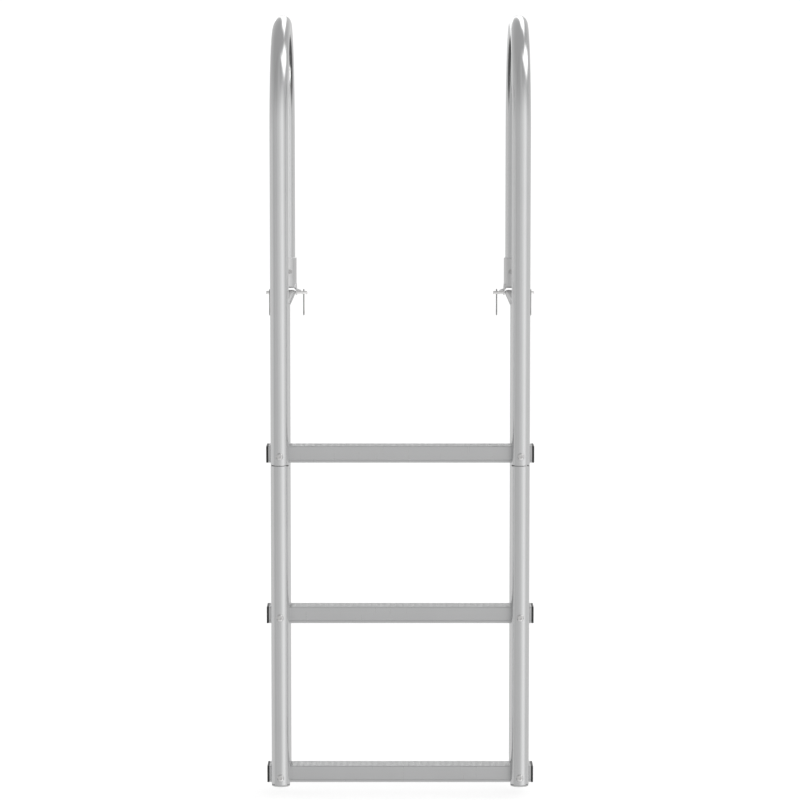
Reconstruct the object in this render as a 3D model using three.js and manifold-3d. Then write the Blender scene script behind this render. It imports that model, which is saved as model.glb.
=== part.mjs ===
// Boarding ladder with arched handrails, three hollow steps and flip-up deck bars.
// Millimetres, +Z up. X runs across the ladder, -Y is the water side, +Y is the dock side.
// Origin: on the deck surface, at the dock's edge, midway between the two deck bars.

import * as THREE from 'three';
import { mergeVertices } from 'three/addons/utils/BufferGeometryUtils.js';
import Module from 'manifold-3d';

const wasm = await Module();
wasm.setup();

// ---------------------------------------------------------------- driving dimensions

const TUBE_RADIUS = 16;            // round tube, outside
const TUBE_WALL = 1.8;
const STILE_SPACING = 414;         // left to right tube axes
const ARCH_SPAN = 380;             // front leg axis to rear leg axis
const OVERALL_HEIGHT = 1332;       // stile foot to top of the handrail
const DECK_HEIGHT = 826;           // stile foot to the deck surface

const STEP_COUNT = 3;
const STEP_PITCH = 280;
const FIRST_STEP_TOP = 31;         // above the stile foot
const STEP_DEPTH = 46;
const STEP_HEIGHT = 29;
const STEP_LENGTH = 455;
const STEP_WALL = 1.8;
const STEP_CORNER = 2.2;
const TREAD_RIBS = 9;
const RIB_HEIGHT = 1.2;
const TREAD_WALL = 2.2;            // plate under the ribs
const CAP_THICKNESS = 3.5;
const CAP_CHAMFER = 0.7;
const CAP_SPIGOT = 8;

const BAR_WIDTH = 32;              // deck bar
const BAR_THICKNESS = 10;
const DECK_HOLE_PLACES = [38, 132, 226];   // from the dock's edge
const DECK_HOLE_RADIUS = 3.3;
const COUNTERSINK_RADIUS = 6.4;
const COUNTERSINK_FLOOR = 3.5;      // below the bar's top
const COUNTERSINK_LIP = 0.4;
const BUFFER_MARGIN = 3;           // bar left free on each side of the buffer
const BUFFER_LIP = 0.5;            // bar left free above and below it
const BUFFER_CHAMFER = 0.5;
const BUFFER_THICKNESS = 4;
const BUFFER_REACH = 0.5;          // free gap between rubber buffer and stile
const BUFFER_PEG_RADIUS = 2.4;
const BUFFER_PEG_LENGTH = 9;

const SOCKET_RADIUS = 18.5;
const SOCKET_BOTTOM = 17;          // above the deck surface
const SOCKET_TOP = 70;
const SOCKET_FLOOR = 7;
const EAR_OUTER = 20;              // half width over the two ears
const EAR_INNER = 16.5;
const EAR_CLEARANCE = 0.2;         // ear above the deck
const SHOULDER_FRONT = 12;         // shoulder block ahead of the leg's axis
const SHOULDER_CORNER = 4;
const PIN_OFFSET = 14;             // pin behind the rear leg's axis, so the leg can lie on the deck
const PIN_RADIUS = 3;
const PIN_HALF_LENGTH = 37.5;
const PIN_CHAMFER = 0.7;
const CLIP_OFFSET = 31;            // retaining clips each side of the tube axis
const WIRE_RADIUS = 1.15;
const WIRE_SIDES = 6;
const CLIP_STEPS = 38;
const CLIP_LEG_TOP = 4.6;          // clip leg above the pin axis
const CLIP_LEG_DROP = 26;          // straight part of the leg below the pin axis
const CLIP_LENGTH = 42;            // clip below the pin axis
const BIGHT_RADIUS = 4.6;          // round end of the clip
const BIGHT_OFFSET = 2.2;          // its centre beside the straight leg
const BIGHT_OPENING = 50;          // degrees each side of straight up

const BOLT_RADIUS = 3;
const BOLT_HEAD_RADIUS = 6;
const BOLT_HEAD_HEIGHT = 3;
const BOLT_CHAMFER = 0.7;
const BOLT_SHORT_OF = 4;           // bolt tip short of the rear stile's back
const NUT_HEAD_RADIUS = 6;
const NUT_HEAD_HEIGHT = 2.4;
const NUT_SLEEVE_RADIUS = 4;
const NUT_SLEEVE_LENGTH = 20;
const PLUG_FLANGE = 2.5;
const PLUG_BARREL = 9;
const PLUG_WALL = 1.6;
const PLUG_EDGE = 0.8;             // chamfer of the flange and taper of the barrel
const PLUG_SIDES = 16;
const SPIGOT_LENGTH = 60;
const SEAM_GAP = 0.8;
const SEAM_BELOW_STEP = 2;         // seam of the front tube under the top step

const GAP = 0.3;                   // between pieces that touch
const BORE_GAP = 0.25;             // round the hinge pin
const OVERCUT = 1;                 // cutter past the face it cuts
const EDGE_STEPS = 4;
const BAR_END_STEPS = 8;
const MIN_FLAT = 0.01;             // flat left between two round edges
const SLIDING_GAP = 0.5;           // round a piece pushed into a tube or a hollow step
const TUBE_SIDES = 20;
const SMALL_SIDES = 10;
const CORNER_STEPS = 2;
const EAR_STEPS = 8;

// ---------------------------------------------------------------- worked-out places

const sides = { left: -1, right: 1 };
const stileX = STILE_SPACING / 2;
const tubeBore = TUBE_RADIUS - TUBE_WALL;
const footZ = -DECK_HEIGHT;
const topZ = OVERALL_HEIGHT - DECK_HEIGHT;
const bendRadius = ARCH_SPAN / 2;
const bendZ = topZ - TUBE_RADIUS - bendRadius;
const rearStileY = -(BUFFER_THICKNESS + BUFFER_REACH + TUBE_RADIUS);
const stepY = rearStileY - TUBE_RADIUS - GAP - STEP_DEPTH / 2;
const frontTubeY = stepY - STEP_DEPTH / 2 - GAP - TUBE_RADIUS;
const rearLegY = frontTubeY + ARCH_SPAN;
const pinY = rearLegY + PIN_OFFSET;
const pinZ = BAR_THICKNESS / 2;
const stepTops = Array.from({ length: STEP_COUNT }, (_, i) => footZ + FIRST_STEP_TOP + i * STEP_PITCH);
const seamZ = stepTops[STEP_COUNT - 1] - STEP_HEIGHT - SEAM_BELOW_STEP;
const boltDrop = STEP_HEIGHT / 2;
const topBoltZ = stepTops[STEP_COUNT - 1] - boltDrop;

// ---------------------------------------------------------------- materials

const finish = (color, roughness, metalness) => ({ color, roughness, metalness });
const tubeFinish = finish(0xb4b5b7, 0.38, 1);
const stepFinish = finish(0xacadaf, 0.45, 1);
const castFinish = finish(0x9d9fa1, 0.5, 1);
const blackPlastic = finish(0x1b1b1c, 0.6, 0);
const greyPlastic = finish(0x8c8d8f, 0.55, 0);
const blackRubber = finish(0x141414, 0.85, 0);
const stainless = finish(0xc2c3c5, 0.25, 1);

const group = new THREE.Group();

function place(name, geometry, look, x = 0, y = 0, z = 0) {
  const mesh = new THREE.Mesh(geometry, new THREE.MeshStandardMaterial(look));
  mesh.name = name;
  mesh.position.set(x, y, z);
  group.add(mesh);
  return mesh;
}

// ---------------------------------------------------------------- solids

function toSolid(geometry) {
  const bare = geometry.clone();
  bare.deleteAttribute('normal');
  bare.deleteAttribute('uv');
  const merged = mergeVertices(bare, 1e-4);
  const triVerts = new Uint32Array(merged.index.array);
  const vertProperties = new Float32Array(merged.attributes.position.array);
  return new wasm.Manifold(new wasm.Mesh({ numProp: 3, vertProperties, triVerts }));
}

function toGeometry(solid) {
  const mesh = solid.getMesh();
  const geometry = new THREE.BufferGeometry();
  geometry.setAttribute('position', new THREE.BufferAttribute(new Float32Array(mesh.vertProperties), 3));
  geometry.setIndex(new THREE.BufferAttribute(new Uint32Array(mesh.triVerts), 1));
  geometry.computeVertexNormals();
  return geometry;
}

function cut(geometry, cutters) {
  return toGeometry(cutters.reduce((solid, cutter) => solid.subtract(toSolid(cutter)), toSolid(geometry)));
}

function join(geometries) {
  const [first, ...rest] = geometries.map(toSolid);
  return toGeometry(rest.reduce((solid, next) => solid.add(next), first));
}

function circle(radius, count) {
  return Array.from({ length: count }, (_, i) => {
    const angle = (i / count) * 2 * Math.PI;
    return new THREE.Vector2(radius * Math.cos(angle), radius * Math.sin(angle));
  });
}

// Values from first to last in equal steps.
function spread(steps, first, last) {
  return Array.from({ length: steps + 1 }, (_, i) => first + (i / steps) * (last - first));
}

function extrude(shape, depth, curveSegments = CORNER_STEPS) {
  return new THREE.ExtrudeGeometry(shape, { depth, bevelEnabled: false, curveSegments });
}

// An extrusion whose two end edges are chamfered inwards.
function chamfered(shape, depth, chamfer) {
  return new THREE.ExtrudeGeometry(shape, {
    depth: depth - 2 * chamfer,
    bevelEnabled: true,
    bevelThickness: chamfer,
    bevelSize: chamfer,
    bevelOffset: -chamfer,
    bevelSegments: 1,
    curveSegments: CORNER_STEPS,
  }).translate(0, 0, chamfer);
}

// A plain rod along +Z from z0 to z1.
function rod(radius, z0, z1, count = SMALL_SIDES) {
  return extrude(new THREE.Shape(circle(radius, count)), z1 - z0).translate(0, 0, z0);
}

// A rod along Y, centred on y = 0.
function crossRod(radius, length, count = SMALL_SIDES) {
  return rod(radius, -length / 2, length / 2, count).rotateX(Math.PI / 2);
}

function tubeShape() {
  const shape = new THREE.Shape(circle(TUBE_RADIUS, TUBE_SIDES));
  shape.holes.push(new THREE.Path(circle(tubeBore, TUBE_SIDES)));
  return shape;
}

function straightTube(z0, z1) {
  return extrude(tubeShape(), z1 - z0).translate(0, 0, z0);
}

// A closed lathe profile, given as [radius, height] pairs.
function turned(profile, count = SMALL_SIDES) {
  return new THREE.LatheGeometry(profile.map(([r, h]) => new THREE.Vector2(r, h)), count);
}

// A round-cornered rectangle in the XY plane, with its lowest corner at (x0, y0).
function roundedRect(x0, y0, width, height, radius) {
  const path = new THREE.Shape();
  path.moveTo(x0 + radius, y0);
  path.lineTo(x0 + width - radius, y0);
  path.absarc(x0 + width - radius, y0 + radius, radius, -Math.PI / 2, 0, false);
  path.lineTo(x0 + width, y0 + height - radius);
  path.absarc(x0 + width - radius, y0 + height - radius, radius, 0, Math.PI / 2, false);
  path.lineTo(x0 + radius, y0 + height);
  path.absarc(x0 + radius, y0 + height - radius, radius, Math.PI / 2, Math.PI, false);
  path.lineTo(x0, y0 + radius);
  path.absarc(x0 + radius, y0 + radius, radius, Math.PI, 1.5 * Math.PI, false);
  return path;
}

// A box between two opposite corners.
function box(low, high) {
  const size = high.map((value, i) => value - low[i]);
  const middle = high.map((value, i) => (value + low[i]) / 2);
  return new THREE.BoxGeometry(...size).translate(...middle);
}

// Turns a shape drawn in (across, up) and extruded along +Z so that it runs along X, with up as +Z.
function alongX(geometry) {
  return geometry.rotateX(Math.PI / 2).rotateZ(Math.PI / 2);
}

// ---------------------------------------------------------------- handrail tube

// Straight front leg, half-circle arch, straight rear leg: one step per leg, several round the arch.
class HandrailPath extends THREE.Curve {
  constructor(frontBottom, rearBottom, archSteps) {
    super();
    this.frontBottom = frontBottom;
    this.rearBottom = rearBottom;
    this.archSteps = archSteps;
  }

  get steps() {
    return this.archSteps + 2;
  }

  archAngle(t) {
    const step = t * this.steps - 1;
    return (Math.min(Math.max(step, 0), this.archSteps) / this.archSteps) * Math.PI;
  }

  getPoint(t, target = new THREE.Vector3()) {
    const angle = this.archAngle(t);
    const y = bendRadius - bendRadius * Math.cos(angle);
    const arch = bendZ + bendRadius * Math.sin(angle);
    const step = t * this.steps;
    if (step < 1) return target.set(0, y, this.frontBottom + (bendZ - this.frontBottom) * step);
    const past = step - (this.steps - 1);
    return target.set(0, y, past > 0 ? bendZ + (this.rearBottom - bendZ) * past : arch);
  }

  getTangent(t, target = new THREE.Vector3()) {
    const angle = this.archAngle(t);
    return target.set(0, Math.sin(angle), Math.cos(angle));
  }

  getPointAt(u, target) {
    return this.getPoint(u, target);
  }

  getTangentAt(u, target) {
    return this.getTangent(u, target);
  }
}

const ARCH_STEPS = 14;
const RIVET_AZIMUTH = THREE.MathUtils.degToRad(22);
const RIVET_RADIUS = 2.4;
const RIVET_HEIGHT = 28;           // above the socket's lower end
const RIVET_HEAD_RADIUS = 4;
const RIVET_HEAD_HEIGHT = 1.4;
const RIVET_SHANK = 5.5;
const socketFloorZ = SOCKET_BOTTOM + SOCKET_FLOOR;
const rivetZ = SOCKET_BOTTOM + RIVET_HEIGHT;

// A rod that points out of the socket's wall, towards the front and a little inwards.
function wallRod(radius, inner, outer, side) {
  return rod(radius, inner, outer, SMALL_SIDES).rotateX(Math.PI / 2).rotateZ(-side * RIVET_AZIMUTH);
}

function handrail(side) {
  const path = new HandrailPath(seamZ + SEAM_GAP / 2, socketFloorZ + GAP, ARCH_STEPS);
  const tube = new THREE.ExtrudeGeometry(tubeShape(), { steps: path.steps, extrudePath: path });
  const boltHole = crossRod(BOLT_RADIUS + GAP, 3 * TUBE_RADIUS);
  const rivetHole = wallRod(RIVET_RADIUS + GAP, tubeBore - 2 * TUBE_WALL, SOCKET_RADIUS, side);
  return cut(tube, [boltHole.translate(0, 0, topBoltZ), rivetHole.translate(0, ARCH_SPAN, rivetZ)]);
}

// ---------------------------------------------------------------- stiles

function boltHoles(radius, length, tops) {
  return tops.map((top) => crossRod(radius, length).translate(0, 0, top - boltDrop));
}

function lowerStile() {
  const tube = straightTube(footZ + PLUG_FLANGE + GAP, seamZ - SEAM_GAP / 2);
  return cut(tube, boltHoles(BOLT_RADIUS + GAP, 3 * TUBE_RADIUS, stepTops.slice(0, -1)));
}

const rearStileTop = BAR_THICKNESS - PLUG_FLANGE;

function rearStile() {
  const tube = straightTube(footZ + PLUG_FLANGE + GAP, rearStileTop - GAP);
  const through = boltHoles(BOLT_RADIUS + GAP, 3 * TUBE_RADIUS, stepTops);
  const sleeves = boltHoles(NUT_SLEEVE_RADIUS + GAP, TUBE_RADIUS, stepTops);
  sleeves.forEach((hole) => hole.translate(0, TUBE_RADIUS, 0));
  return cut(tube, [...through, ...sleeves]);
}

// Tube that bridges the seam of the front tube; the top step's bolt passes through it.
function seamSpigot() {
  const outer = tubeBore - SLIDING_GAP;
  const shape = new THREE.Shape(circle(outer, TUBE_SIDES));
  shape.holes.push(new THREE.Path(circle(outer - TUBE_WALL, TUBE_SIDES)));
  const tube = extrude(shape, SPIGOT_LENGTH).translate(0, 0, -SPIGOT_LENGTH / 2);
  const boltHole = crossRod(BOLT_RADIUS + GAP, 3 * TUBE_RADIUS);
  return cut(tube, [boltHole.translate(0, 0, topBoltZ - seamZ)]);
}

// Push-in plug: flange at z = 0 to -PLUG_FLANGE below the tube's end, hollow barrel above it.
function tubePlug() {
  const rim = TUBE_RADIUS - GAP;
  const barrel = tubeBore - SLIDING_GAP;
  const tip = barrel - PLUG_EDGE;
  const hollow = tip - PLUG_WALL;
  return turned([
    [0, -PLUG_FLANGE],
    [rim - PLUG_EDGE, -PLUG_FLANGE],
    [rim, -PLUG_FLANGE + PLUG_EDGE],
    [rim, 0],
    [barrel, 0],
    [tip, PLUG_BARREL],
    [hollow, PLUG_BARREL],
    [hollow, 0],
    [0, 0],
  ], PLUG_SIDES).rotateX(Math.PI / 2);
}

// ---------------------------------------------------------------- steps

const CELL_GAP = 1.6;              // web between the two hollow cells
const FRONT_GROOVE_Z = -STEP_HEIGHT + 5;
const FRONT_GROOVE_DEPTH = 0.6;
const FRONT_GROOVE_HALF = 0.7;
const RIB_VALLEY = [0, 0.12, 0.38, 0.5];   // valley between ribs, in rib pitches: edge, floor, floor, edge
const cellTop = -RIB_HEIGHT - TREAD_WALL;
const cellBottom = -STEP_HEIGHT + STEP_WALL;
const cells = [[-STEP_DEPTH / 2 + STEP_WALL, -CELL_GAP / 2], [CELL_GAP / 2, STEP_DEPTH / 2 - STEP_WALL]];

// The step's outline in (front to back, up): ribbed tread, rounded corners, groove along the front.
function stepOutline() {
  const half = STEP_DEPTH / 2;
  const shape = new THREE.Shape();
  shape.moveTo(-half + STEP_CORNER, -STEP_HEIGHT);
  shape.lineTo(half - STEP_CORNER, -STEP_HEIGHT);
  shape.absarc(half - STEP_CORNER, -STEP_HEIGHT + STEP_CORNER, STEP_CORNER, -Math.PI / 2, 0, false);
  shape.lineTo(half, -STEP_CORNER);
  shape.absarc(half - STEP_CORNER, -STEP_CORNER, STEP_CORNER, 0, Math.PI / 2, false);
  const treadWidth = STEP_DEPTH - 2 * STEP_CORNER;
  const pitch = treadWidth / (TREAD_RIBS - 0.5);
  for (let i = 0; i < TREAD_RIBS - 1; i += 1) {
    const valley = RIB_VALLEY.map((place) => half - STEP_CORNER - pitch * (i + 0.5 + place));
    shape.lineTo(valley[0], 0);
    shape.lineTo(valley[1], -RIB_HEIGHT);
    shape.lineTo(valley[2], -RIB_HEIGHT);
    shape.lineTo(valley[3], 0);
  }
  shape.lineTo(-half + STEP_CORNER, 0);
  shape.absarc(-half + STEP_CORNER, -STEP_CORNER, STEP_CORNER, Math.PI / 2, Math.PI, false);
  shape.lineTo(-half, FRONT_GROOVE_Z + FRONT_GROOVE_HALF);
  shape.lineTo(-half + FRONT_GROOVE_DEPTH, FRONT_GROOVE_Z);
  shape.lineTo(-half, FRONT_GROOVE_Z - FRONT_GROOVE_HALF);
  shape.lineTo(-half, -STEP_HEIGHT + STEP_CORNER);
  shape.absarc(-half + STEP_CORNER, -STEP_HEIGHT + STEP_CORNER, STEP_CORNER, Math.PI, 1.5 * Math.PI, false);
  return shape;
}

function step() {
  const body = alongX(extrude(stepOutline(), STEP_LENGTH).translate(0, 0, -STEP_LENGTH / 2));
  const hollows = cells.map(([front, rear]) => {
    return box([-STEP_LENGTH, front, cellBottom], [STEP_LENGTH, rear, cellTop]);
  });
  const holes = Object.values(sides).map((side) => {
    return crossRod(BOLT_RADIUS + GAP, 2 * STEP_DEPTH).translate(side * stileX, 0, -boltDrop);
  });
  return cut(body, [...hollows, ...holes]);
}

// Cover for one end of a step: plate outside at +X, two spigots that enter the cells.
function stepCap() {
  const face = roundedRect(-STEP_DEPTH / 2, -STEP_HEIGHT, STEP_DEPTH, STEP_HEIGHT, STEP_CORNER);
  const plate = alongX(chamfered(face, CAP_THICKNESS, CAP_CHAMFER));
  const spigots = cells.map(([front, rear]) => {
    const low = [-CAP_SPIGOT, front + SLIDING_GAP, cellBottom + SLIDING_GAP];
    return box(low, [CAP_THICKNESS / 2, rear - SLIDING_GAP, cellTop - SLIDING_GAP]);
  });
  return join([plate, ...spigots]);
}

// ---------------------------------------------------------------- deck bar and buffer

function deckBar() {
  const edge = BAR_THICKNESS / 2;
  const section = roundedRect(-BAR_WIDTH / 2, 0, BAR_WIDTH, BAR_THICKNESS, edge - MIN_FLAT);
  const length = pinY + edge;
  const bar = extrude(section, length, EDGE_STEPS).rotateX(Math.PI / 2).translate(0, length, 0);
  const profile = new THREE.Shape();
  profile.moveTo(0, 0);
  profile.lineTo(pinY, 0);
  profile.absarc(pinY, edge, edge, -Math.PI / 2, Math.PI / 2, false);
  profile.lineTo(0, BAR_THICKNESS);
  const sideWidth = BAR_WIDTH + 2 * OVERCUT;
  const sideView = alongX(extrude(profile, sideWidth, BAR_END_STEPS).translate(0, 0, -sideWidth / 2));
  const rounded = toGeometry(toSolid(bar).intersect(toSolid(sideView)));
  const pinBore = rod(PIN_RADIUS + BORE_GAP, -BAR_WIDTH, BAR_WIDTH, TUBE_SIDES).rotateY(Math.PI / 2);
  const screws = DECK_HOLE_PLACES.map((y) => {
    return turned([
      [0, -OVERCUT],
      [DECK_HOLE_RADIUS, -OVERCUT],
      [DECK_HOLE_RADIUS, BAR_THICKNESS - COUNTERSINK_FLOOR],
      [COUNTERSINK_RADIUS, BAR_THICKNESS - COUNTERSINK_LIP],
      [COUNTERSINK_RADIUS, BAR_THICKNESS + OVERCUT],
      [0, BAR_THICKNESS + OVERCUT],
    ]).rotateX(Math.PI / 2).translate(0, y, 0);
  });
  const bufferBore = crossRod(BUFFER_PEG_RADIUS + GAP, 2 * (BUFFER_PEG_LENGTH + OVERCUT)).translate(0, 0, edge);
  return cut(rounded, [pinBore.translate(0, pinY, pinZ), bufferBore, ...screws]);
}

// Rubber stop on the bar's front end; its peg sits in a bore of the bar.
function buffer() {
  const width = BAR_WIDTH - 2 * BUFFER_MARGIN;
  const height = BAR_THICKNESS - 2 * BUFFER_LIP;
  const pad = roundedRect(-width / 2, -height / 2, width, height, height / 2 - 2 * BUFFER_LIP);
  const face = chamfered(pad, BUFFER_THICKNESS - GAP, BUFFER_CHAMFER).translate(0, 0, GAP);
  const peg = rod(BUFFER_PEG_RADIUS, -BUFFER_PEG_LENGTH, 1);
  return join([face, peg]).rotateX(Math.PI / 2);
}

// ---------------------------------------------------------------- foot socket with hinge ears

// Ear in (towards the dock, up): hangs from the shoulder block and ends round the pin.
function earOutline() {
  const reach = pinZ - EAR_CLEARANCE;
  const rootZ = SOCKET_BOTTOM + SOCKET_FLOOR / 2;
  const ear = new THREE.Shape();
  ear.moveTo(SOCKET_RADIUS, rootZ);
  ear.lineTo(-SHOULDER_FRONT, rootZ);
  ear.lineTo(-SHOULDER_FRONT, SOCKET_BOTTOM - 1);
  ear.absarc(PIN_OFFSET, pinZ, reach, -0.8 * Math.PI, 0, false);
  return ear;
}

function footSocket(side) {
  const sleeve = new THREE.Shape(circle(SOCKET_RADIUS, TUBE_SIDES));
  const body = extrude(sleeve, SOCKET_TOP - SOCKET_BOTTOM).translate(0, 0, SOCKET_BOTTOM);
  const depth = SHOULDER_FRONT + SOCKET_RADIUS;
  const shoulder = roundedRect(-EAR_OUTER, -SHOULDER_FRONT, 2 * EAR_OUTER, depth, SHOULDER_CORNER);
  const block = extrude(shoulder, SOCKET_FLOOR).translate(0, 0, SOCKET_BOTTOM);
  const ears = [-EAR_OUTER, EAR_INNER].map((x) => {
    return alongX(extrude(earOutline(), EAR_OUTER - EAR_INNER, EAR_STEPS)).translate(x, 0, 0);
  });
  const bore = rod(TUBE_RADIUS + GAP, socketFloorZ, SOCKET_TOP + 1, TUBE_SIDES);
  const pinBore = rod(PIN_RADIUS + BORE_GAP, -2 * EAR_OUTER, 2 * EAR_OUTER, TUBE_SIDES);
  const rivetHole = wallRod(RIVET_RADIUS + GAP, tubeBore, 2 * SOCKET_RADIUS, side).translate(0, 0, rivetZ);
  pinBore.rotateY(Math.PI / 2).translate(0, PIN_OFFSET, pinZ);
  return cut(join([body, block, ...ears]), [bore, pinBore, rivetHole]);
}

function socketRivet(side) {
  const head = SOCKET_RADIUS + GAP;
  const profile = turned([
    [0, head - RIVET_SHANK],
    [RIVET_RADIUS * 0.8, head - RIVET_SHANK],
    [RIVET_RADIUS, head - RIVET_SHANK * 0.9],
    [RIVET_RADIUS, head],
    [RIVET_HEAD_RADIUS, head],
    [RIVET_HEAD_RADIUS * 0.8, head + RIVET_HEAD_HEIGHT * 0.75],
    [RIVET_HEAD_RADIUS * 0.4, head + RIVET_HEAD_HEIGHT],
    [0, head + RIVET_HEAD_HEIGHT],
  ]);
  return profile.rotateX(Math.PI).rotateZ(-side * RIVET_AZIMUTH);
}

// ---------------------------------------------------------------- hinge pin and retaining clips

function hingePin() {
  const pin = turned([
    [0, -PIN_HALF_LENGTH],
    [PIN_RADIUS - PIN_CHAMFER, -PIN_HALF_LENGTH],
    [PIN_RADIUS, -PIN_HALF_LENGTH + PIN_CHAMFER],
    [PIN_RADIUS, PIN_HALF_LENGTH - PIN_CHAMFER],
    [PIN_RADIUS - PIN_CHAMFER, PIN_HALF_LENGTH],
    [0, PIN_HALF_LENGTH],
  ], TUBE_SIDES).rotateZ(-Math.PI / 2);
  const crossHoles = Object.values(sides).map((end) => {
    return rod(WIRE_RADIUS + GAP, -2 * PIN_RADIUS, 2 * PIN_RADIUS).translate(end * CLIP_OFFSET, 0, 0);
  });
  return cut(pin, crossHoles);
}

// Middle of the clip's wire on its sprung leg, as [beside the straight leg, up from the pin axis].
const besidePin = PIN_RADIUS + WIRE_RADIUS + GAP;
const sprungLeg = [
  [3.6, -28],
  [3.5, -20],
  [4.4, -13],
  [4.3, -8],
  [besidePin + 0.1, -3],
  [besidePin, 0],
  [6.6, 5.5],
];

// Hairpin clip in the YZ plane: straight leg through the pin, round bight below, and a sprung leg
// that comes back up beside the pin and flares out. "lean" is the side that the sprung leg is on.
function retainingClip(lean) {
  const opening = THREE.MathUtils.degToRad(BIGHT_OPENING);
  const bightZ = -CLIP_LENGTH + WIRE_RADIUS + BIGHT_RADIUS;
  const straight = spread(3, CLIP_LEG_TOP, -CLIP_LEG_DROP).map((z) => [0, z]);
  const bight = spread(12, opening, 2 * Math.PI - opening).map((angle) => {
    return [BIGHT_OFFSET - BIGHT_RADIUS * Math.sin(angle), bightZ + BIGHT_RADIUS * Math.cos(angle)];
  });
  const points = [...straight, ...bight, ...sprungLeg].map(([y, z]) => new THREE.Vector3(0, lean * y, z));
  const route = new THREE.CatmullRomCurve3(points, false, 'centripetal');
  const wire = new THREE.Shape(circle(WIRE_RADIUS, WIRE_SIDES));
  return new THREE.ExtrudeGeometry(wire, { steps: CLIP_STEPS, extrudePath: route });
}

// ---------------------------------------------------------------- bolts and sleeve nuts

// Domed bolt, head at -Y, shank along +Y from y = 0.
function stepBolt() {
  const shankEnd = rearStileY - frontTubeY + 2 * TUBE_RADIUS - BOLT_SHORT_OF;
  return turned([
    [0, shankEnd],
    [BOLT_RADIUS - BOLT_CHAMFER, shankEnd],
    [BOLT_RADIUS, shankEnd - BOLT_CHAMFER],
    [BOLT_RADIUS, 0],
    [BOLT_HEAD_RADIUS, 0],
    [BOLT_HEAD_RADIUS * 0.94, -BOLT_HEAD_HEIGHT * 0.4],
    [BOLT_HEAD_RADIUS * 0.7, -BOLT_HEAD_HEIGHT * 0.8],
    [BOLT_HEAD_RADIUS * 0.35, -BOLT_HEAD_HEIGHT],
    [0, -BOLT_HEAD_HEIGHT],
  ].reverse());
}

// Sleeve nut, low head at +Y, sleeve along -Y from y = 0, blind bore open at the front.
function stepNut() {
  const bore = BOLT_RADIUS + GAP;
  return turned([
    [0, NUT_HEAD_HEIGHT],
    [NUT_HEAD_RADIUS * 0.7, NUT_HEAD_HEIGHT],
    [NUT_HEAD_RADIUS, NUT_HEAD_HEIGHT * 0.4],
    [NUT_HEAD_RADIUS, 0],
    [NUT_SLEEVE_RADIUS, 0],
    [NUT_SLEEVE_RADIUS, -NUT_SLEEVE_LENGTH],
    [bore, -NUT_SLEEVE_LENGTH],
    [bore, -1],
    [0, -1],
  ].reverse());
}

// ---------------------------------------------------------------- assembly

const stepNames = ['bottom', 'middle', 'top'];
stepTops.forEach((top, i) => place(`step_${stepNames[i]}`, step(), stepFinish, 0, stepY, top));

Object.entries(sides).forEach(([label, side]) => {
  const x = side * stileX;
  place(`handrail_tube_${label}`, handrail(side), tubeFinish, x, frontTubeY, 0);
  place(`lower_stile_${label}`, lowerStile(), tubeFinish, x, frontTubeY, 0);
  place(`rear_stile_${label}`, rearStile(), tubeFinish, x, rearStileY, 0);
  place(`seam_spigot_${label}`, seamSpigot(), tubeFinish, x, frontTubeY, seamZ);
  place(`front_foot_plug_${label}`, tubePlug(), greyPlastic, x, frontTubeY, footZ + PLUG_FLANGE);
  place(`rear_foot_plug_${label}`, tubePlug(), greyPlastic, x, rearStileY, footZ + PLUG_FLANGE);
  place(`rear_top_plug_${label}`, tubePlug().rotateX(Math.PI), greyPlastic, x, rearStileY, rearStileTop);
  place(`foot_socket_${label}`, footSocket(side), castFinish, x, rearLegY, 0);
  place(`socket_rivet_${label}`, socketRivet(side), stainless, x, rearLegY, rivetZ);
  place(`deck_bar_${label}`, deckBar(), castFinish, x, 0, 0);
  place(`deck_buffer_${label}`, buffer(), blackRubber, x, 0, pinZ);
  place(`hinge_pin_${label}`, hingePin(), stainless, x, pinY, pinZ);
  place(`inner_clip_${label}`, retainingClip(1), stainless, x - side * CLIP_OFFSET, pinY, pinZ);
  place(`outer_clip_${label}`, retainingClip(-1), stainless, x + side * CLIP_OFFSET, pinY, pinZ);

  stepTops.forEach((top, i) => {
    const name = `${stepNames[i]}_${label}`;
    const z = top - boltDrop;
    const capX = side * (STEP_LENGTH / 2 + GAP);
    const cap = place(`step_cap_${name}`, stepCap(), blackPlastic, capX, stepY, top);
    if (side < 0) cap.rotation.z = Math.PI;
    place(`step_bolt_${name}`, stepBolt(), stainless, x, frontTubeY - TUBE_RADIUS - GAP, z);
    place(`step_nut_${name}`, stepNut(), stainless, x, rearStileY + TUBE_RADIUS + GAP, z);
  });
});

export default group;
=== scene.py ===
"""Looks of the boarding ladder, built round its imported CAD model. Metres, in the row frame."""

import math

import bmesh
import bpy
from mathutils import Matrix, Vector
from mathutils.geometry import interpolate_bezier


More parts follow.
